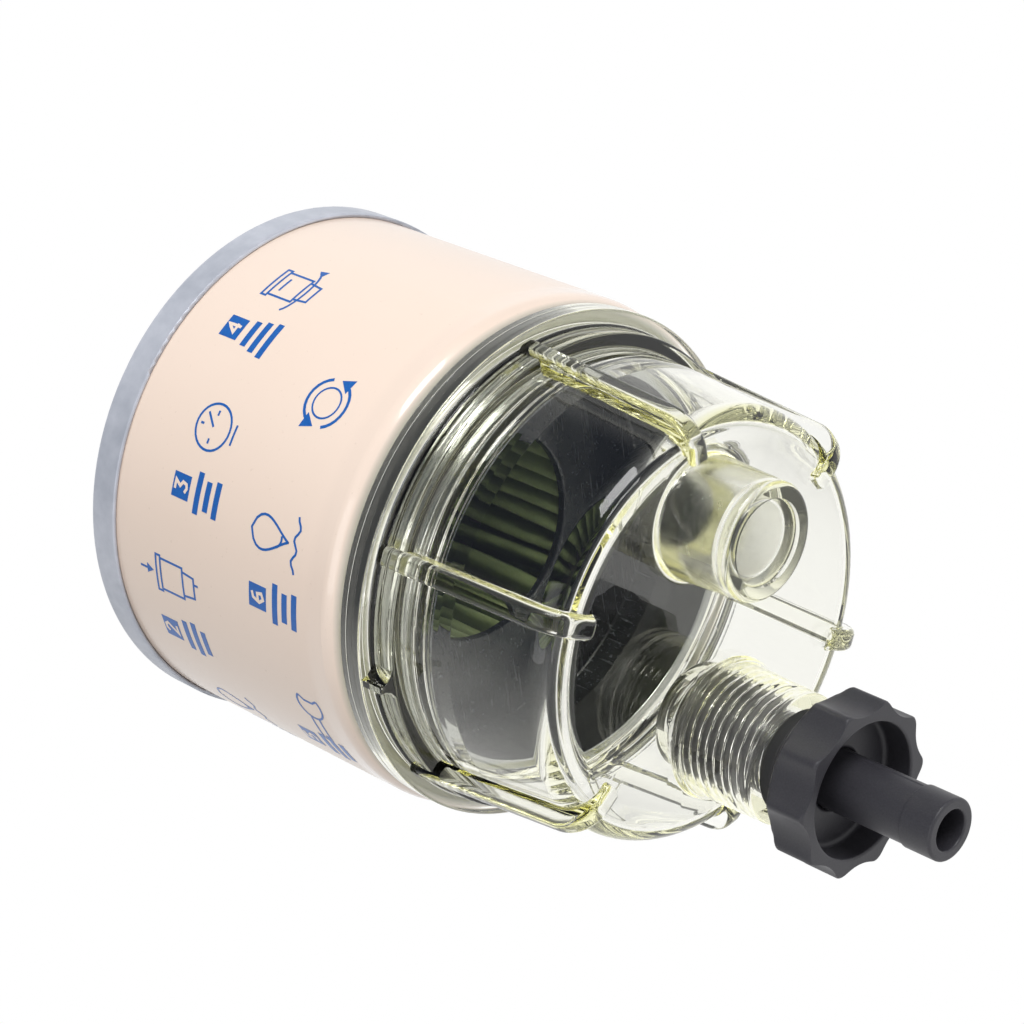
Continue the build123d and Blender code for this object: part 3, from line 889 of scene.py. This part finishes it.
def even(line):
    """Line with extra points, so that no piece of it is longer than the ink's step."""
    line = np.array(line, float)
    points = [line[:1]]
    for start, end in zip(line[:-1], line[1:]):
        count = max(1, int(np.ceil(np.linalg.norm(end - start) / INK_STEP)))
        points.append(start + np.linspace(0, 1, count + 1)[1:, None] * (end - start))
    return np.concatenate(points)


def stroke(line, width=0.38):
    """Band along a line. At a corner the two edges meet on the mitre, at width / 2 / cos(half turn)."""
    line = even(line)
    ahead = unit(np.diff(line, axis=0))
    closed = np.allclose(line[0], line[-1])
    before = np.vstack([ahead[-1:] if closed else ahead[:1], ahead])
    after = np.vstack([ahead, ahead[:1] if closed else ahead[-1:]])
    middle = unit(before + after)
    mitre = width / 2 / np.clip((middle * after).sum(axis=1, keepdims=True), 0.5, 1)
    side = np.stack([-middle[:, 1], middle[:, 0]], axis=-1) * mitre
    return np.stack([line - side, line + side], axis=1)


def strokes(*lines):
    """A stroke of the usual width for each line."""
    return [stroke(line) for line in lines]


def field(left, right, across=6):
    """Filled shape between two edges that have the same number of points."""
    left, right = np.array(left, float), np.array(right, float)
    part = np.linspace(0, 1, across)[None, :, None]
    return left[:, None] + part * (right - left)[:, None]


def block(x, y, width, height):
    """Filled rectangle with its lower left corner at (x, y)."""
    up = np.linspace(y, y + height, 6)
    return field(np.column_stack([np.full(6, x), up]), np.column_stack([np.full(6, x + width), up]))


def arc_line(x, y, radius, start, end, flatten=1.0):
    """Part of a circle, or of an ellipse that is flatten times as high, between two angles in degrees."""
    angle = np.radians(np.linspace(start, end, max(8, int(abs(end - start) / 12))))
    return np.column_stack([x + radius * np.cos(angle), y + radius * flatten * np.sin(angle)])


def arrow_head(tip, angle, size=1.5):
    """Filled triangle whose tip points at an angle in degrees."""
    length = np.array([cos(radians(angle)), sin(radians(angle))]) * size
    side = np.array([-length[1], length[0]]) * 0.55
    part = np.linspace(0.02, 1, 5)[:, None]
    middle = np.array(tip) - part * length
    return field(middle - side * part, middle + side * part, 4)


print("a 4 mm stroke is a grid of", stroke([(0, 0), (4, 0)]).shape[:2], "points")

# %% [markdown]
# The pictures are a few strokes each: a drop over a level line, a can under an arrow, the same can with an
# arrow round it, a dial, a spanner and a ring of two arrows.

# %% Pictures of the print
def drop_picture():
    """Outline of a drop, half width 2.6 sin(pi s^0.62)^1.15 down its height, over a wavy line."""
    side = np.linspace(0, 1, 12)
    half = 2.6 * np.sin(pi * side ** 0.62) ** 1.15
    height = 8.0 - 8.0 * side
    drop = np.concatenate([np.column_stack([-half, height]), np.column_stack([half, height])[::-1]])
    wave = np.linspace(-4.2, 4.2, 15)
    level = np.column_stack([wave, -1.6 + 0.45 * np.sin(wave * 1.9)])
    return strokes(drop, level, arc_line(0, 2.9, 1.5, 200, 290))


def can_picture():
    """Separator with its head, seen from the side, and an arrow above it."""
    body = [(-2.6, 0), (2.6, 0), (2.6, 5.2), (-2.6, 5.2), (-2.6, 0)]
    bowl_line = [(-2.0, 0), (-1.7, -2.6), (1.7, -2.6), (2.0, 0)]
    head = [(-3.0, 5.2), (3.0, 5.2), (3.0, 6.2), (-3.0, 6.2), (-3.0, 5.2)]
    drain, arrow = [(0.7, -2.6), (0.7, -3.6)], [(0, 7.4), (0, 10.0)]
    return [*strokes(body, bowl_line, head, drain, arrow), arrow_head((0, 6.9), -90)]


def turn_picture():
    """The same separator with an arrow round it."""
    around, mark = arc_line(0, 1.2, 4.9, 200, 345, 0.45), [(-1.4, 3.8), (1.4, 3.8)]
    return [*can_picture()[:3], stroke(around), arrow_head((5.0, 1.1), 75), stroke(mark)]


def dial_picture():
    """Circle with a hand, three marks and a line under it."""
    hand, mark = [(0, 2.6), (1.9, 4.6)], [(0, 5.4), (0, 4.7)]
    return strokes(arc_line(0, 2.6, 3.6, 0, 360), hand, [(-2.6, 2.6), (-1.8, 2.6)], mark,
                   [(2.6, 2.6), (1.8, 2.6)], [(-1.6, -2.0), (1.6, -2.0)])


def spanner_picture():
    """Open jaw on a bar."""
    jaw = arc_line(0, 0, 2.6, 50, 310)
    return strokes(jaw, [jaw[0], (0.9, 0.9), (0.9, -0.9), jaw[-1]],
                   [(-2.5, 0.9), (-7.4, 0.9), (-7.9, 0), (-7.4, -0.9), (-2.5, -0.9)])


def ring_picture():
    """Two arrows round a ring."""
    return [stroke(arc_line(0, 0, 3.9, 20, 165), 0.5), arrow_head((-3.95, 0.2), 258, 2.3),
            stroke(arc_line(0, 0, 3.9, 200, 345), 0.5), arrow_head((3.95, -0.2), 78, 2.3),
            stroke(arc_line(0, 0, 2.5, 0, 360), 0.3)]


print("the can's picture has", len(can_picture()), "shapes")

# %% [markdown]
# Each step of the instructions has its picture, beside a numbered square with three bars, its angle round
# the can and its height. A figure is one line with corners, cream on its square. The blue shapes become one
# mesh, and the figures another, a little further out. Solidify gives them a thin body.

# %% Number, lay out and wrap the print
FIGURES = {
    1: [(-0.5, 0.9), (0.1, 1.3), (0.1, -1.3)],
    2: [(-0.8, 0.8), (-0.3, 1.3), (0.4, 1.3), (0.8, 0.7), (-0.8, -1.3), (0.8, -1.3)],
    3: [(-0.7, 1.3), (0.7, 1.3), (0, 0.2), (0.7, -0.3), (0.5, -1.1), (-0.1, -1.3), (-0.8, -0.9)],
    4: [(0.4, -1.3), (0.4, 1.3), (-0.8, -0.5), (0.8, -0.5)],
    5: [(0.7, 1.3), (-0.6, 1.3), (-0.7, 0.1), (0.2, 0.3), (0.8, -0.4), (0.3, -1.3), (-0.8, -1.1)],
    6: [(0.6, 1.2), (-0.3, 0.9), (-0.8, -0.4), (-0.2, -1.3), (0.7, -0.9), (0.5, 0), (-0.7, -0.2)],
}
INK_LIFT = 0.03
INK_THICKNESS = 0.02
BARS = (6.4, 4.6, 5.6)
BAR_HEIGHT, BAR_PITCH = 1.15, 2.1


def caption(number, across, up):
    """Numbered square with three bars below it, as blue shapes and the figure's own stroke."""
    blue = [(block(-1.9, -1.9, 3.8, 3.8), across, up)]
    for line, length in enumerate(BARS[number % 3:] + BARS[:number % 3]):
        blue.append((block(-length / 2, -4.4 - BAR_PITCH * line, length, BAR_HEIGHT), across, up))
    return blue, [(stroke(FIGURES[number], 0.5), across, up)]


def wrap(shape, across, up, lift):
    """Flat grid laid on the can: angle = place across / radius, radius = can radius + lift."""
    radius = can_radius + lift
    angle = (across + shape[..., 0]) / can_radius
    return xyz(radius * np.cos(angle), radius * np.sin(angle), up + shape[..., 1])


def print_piece(name, shapes, finish, lift):
    """One mesh of all strokes and fields, each given as (grid, place across, height), with a thin body."""
    points, faces, count = [], [], 0
    for shape, across, up in shapes:
        grid = wrap(shape, across, up, lift)
        points.append(grid.reshape(-1, 3))
        faces.append(quads(grid.shape, False, False) + count)
        count += len(points[-1])
    mesh = bpy.data.meshes.new(name)
    mesh.from_pydata(np.concatenate(points) * MM, [], np.concatenate(faces))
    ink_body = bmesh.new()
    ink_body.from_mesh(mesh)
    level = Vector((1, 1, 0))
    inward = [face for face in ink_body.faces if face.normal.dot(face.calc_center_median() * level) < 0]
    bmesh.ops.reverse_faces(ink_body, faces=inward)
    bmesh.ops.solidify(ink_body, geom=ink_body.faces[:], thickness=INK_THICKNESS * MM)
    bmesh.ops.recalc_face_normals(ink_body, faces=ink_body.faces)
    ink_body.to_mesh(mesh)
    ink_body.free()
    show(mesh, "can", finish)


STEPS = [
    (drop_picture, 1, 232, -19), (can_picture, 2, 268, -15), (dial_picture, 3, 304, -19),
    (turn_picture, 4, 340, -15), (spanner_picture, 5, 250, -40), (drop_picture, 6, 288, -38),
]
blue_shapes, figure_shapes = [], []
for picture, number, angle, up in STEPS:
    across = radians(angle) * can_radius
    blue, figure = caption(number, across - 5.0, up + 2.5)
    blue_shapes += blue + [(shape, across + 5.0, up - 3.0) for shape in picture()]
    figure_shapes += figure
blue_shapes += [(shape, radians(325) * can_radius, -38) for shape in ring_picture()]
print_piece("blue_print", blue_shapes, ink, INK_LIFT)
print_piece("print_figures", figure_shapes, paint, 2 * INK_LIFT)

# %% [markdown]
# The separator hangs from its filter head, so it needs no table. A pale floor lies well below it, and a
# mirror looks through that floor. The world is white to look at and through the bowl, and a soft grey as a
# source of light. In a mirror it is a room, dim above the object and at the picture's left, as an even white
# would lay a veil on the bowl. The lamps are two panels: a bright one high above the camera and a weak one
# at its left. The picture's three directions are fixed in the room.

# %% Floor, world and lamps
PICTURE_RIGHT = Vector((-0.1174, 0.7081, -0.6962))
PICTURE_UP = Vector((0.8550, 0.4287, 0.2918))
PICTURE_BACK = Vector((0.5051, -0.5610, -0.6558))
object_middle = Vector((0, 0, -0.062))


def floor_piece(level, half, count=24):
    """Flat square grid with a pale finish, put into the scene below the object."""
    line = np.linspace(-half, half, count) / MM
    x, y = np.meshgrid(line, line)
    mesh = sheet_mesh("floor", xyz(x, y, level / MM), close_columns=False)
    pale = Finish("pale_floor", Roughness=0.9, Base_Color=rgb(0.86, 0.86, 0.86))
    rays = {0: pale.path("Glossy Depth") > 0.5, 1: pale.shader(), 2: pale.add("BsdfTransparent")}
    pale.feed(pale.output, {"Surface": pale.add("MixShader", rays)})
    mesh.materials.append(pale.material)
    floor = hold(mesh)


def white_world(above, below, dim_room):
    """Background: white to look at, grey after a matt bounce and darker from below. Mirrored once it is dim
    above and at the left. Light that the bowl mirrored more often comes from all round, and is white."""
    world = bpy.data.worlds.new("white_world")
    bpy.context.scene.world = world
    sky = Tree(world)
    seen = sky.path("Is Camera Ray") + sky.path("Is Glossy Ray") + sky.path("Is Transmission Ray") > 0.5
    matt = sky.path("Diffuse Depth") > 0.5
    mirrored = sky.path("Glossy Depth") > 0.5
    often = sky.path("Glossy Depth") > 1.5
    direction = sky.add("TexCoord", out="Generated")

    def towards(axis, low, high):
        """Rise from low to high of the cosine between the ray and an axis."""
        along = sky.add("VectorMath", {0: direction, 1: axis}, "Value", operation="DOT_PRODUCT")
        return sky.ramp(along, low, high)

    shown = sky.mix(often, dim_room, rgb(1, 1, 1))
    front, high = towards(PICTURE_BACK, -0.6, -0.1), towards(PICTURE_UP, -0.5, -0.2)
    dim = front * high * towards(-PICTURE_RIGHT, -0.7, -0.3)
    white = sky.mix(mirrored * dim, rgb(1, 1, 1), shown)
    light = sky.mix(towards(PICTURE_UP, -0.7, 0.15), rgb(below, below, below), rgb(above, above, above))
    sky.feed(sky.nodes["Background"], {"Color": sky.mix(seen * (1 - matt), light, white)})


def lamp(name, right, up, back, size, power):
    """Square panel placed from the object's middle along the picture's directions, facing it."""
    panel = bpy.data.lights.new(name, "AREA")
    panel.size = size
    panel.energy = power
    place = object_middle + PICTURE_RIGHT * right + PICTURE_UP * up + PICTURE_BACK * back
    thing = bpy.data.objects.new(name, panel)
    thing.location = place
    thing.rotation_mode = "QUATERNION"
    thing.rotation_quaternion = (object_middle - place).to_track_quat("-Z", "Y")
    bpy.context.scene.collection.objects.link(thing)
    print(name, "of", power, "W at", [round(v, 2) for v in place])


floor_piece(level=-0.75, half=3.0)
white_world(above=0.65, below=0.15, dim_room=rgb(0.12, 0.135, 0.175))
lamp("key_panel", 0.06, 0.62, 0.66, size=0.40, power=4.4)
lamp("fill_panel", -0.40, -0.10, 0.45, size=0.40, power=0.7)

# %% [markdown]
# The camera has the place and lens that were fitted to the outlines in the photograph. The columns of its
# matrix are the picture's right, up and back directions.

# %% Camera
CAMERA_PLACE = Vector((0.2551, -0.2761, -0.3711))
camera_data = bpy.data.cameras.new("camera")
camera_data.sensor_width = 36.0
camera_data.lens = 116.0
camera_data.clip_start = 0.01
camera = bpy.data.objects.new("camera", camera_data)
turning = Matrix((PICTURE_RIGHT, PICTURE_UP, PICTURE_BACK)).transposed().to_4x4()
camera.matrix_world = Matrix.Translation(CAMERA_PLACE) @ turning
bpy.context.scene.collection.objects.link(camera)
bpy.context.scene.camera = camera
bpy.context.scene.view_settings.view_transform = "Standard"
print("camera of", camera_data.lens, "mm at", [round(v, 3) for v in CAMERA_PLACE])

# %% [markdown]
# Light that enters a clear moulding is often caught between its faces, mirrored many times before it leaves.
# A path that Cycles gives up too early comes out black, so the paths may be longer than usual here.

# %% Length of the light paths
cycles = bpy.context.scene.cycles
cycles.max_bounces = 32
cycles.glossy_bounces = 24
cycles.transmission_bounces = 32
print("light paths of up to", cycles.max_bounces, "bounces")
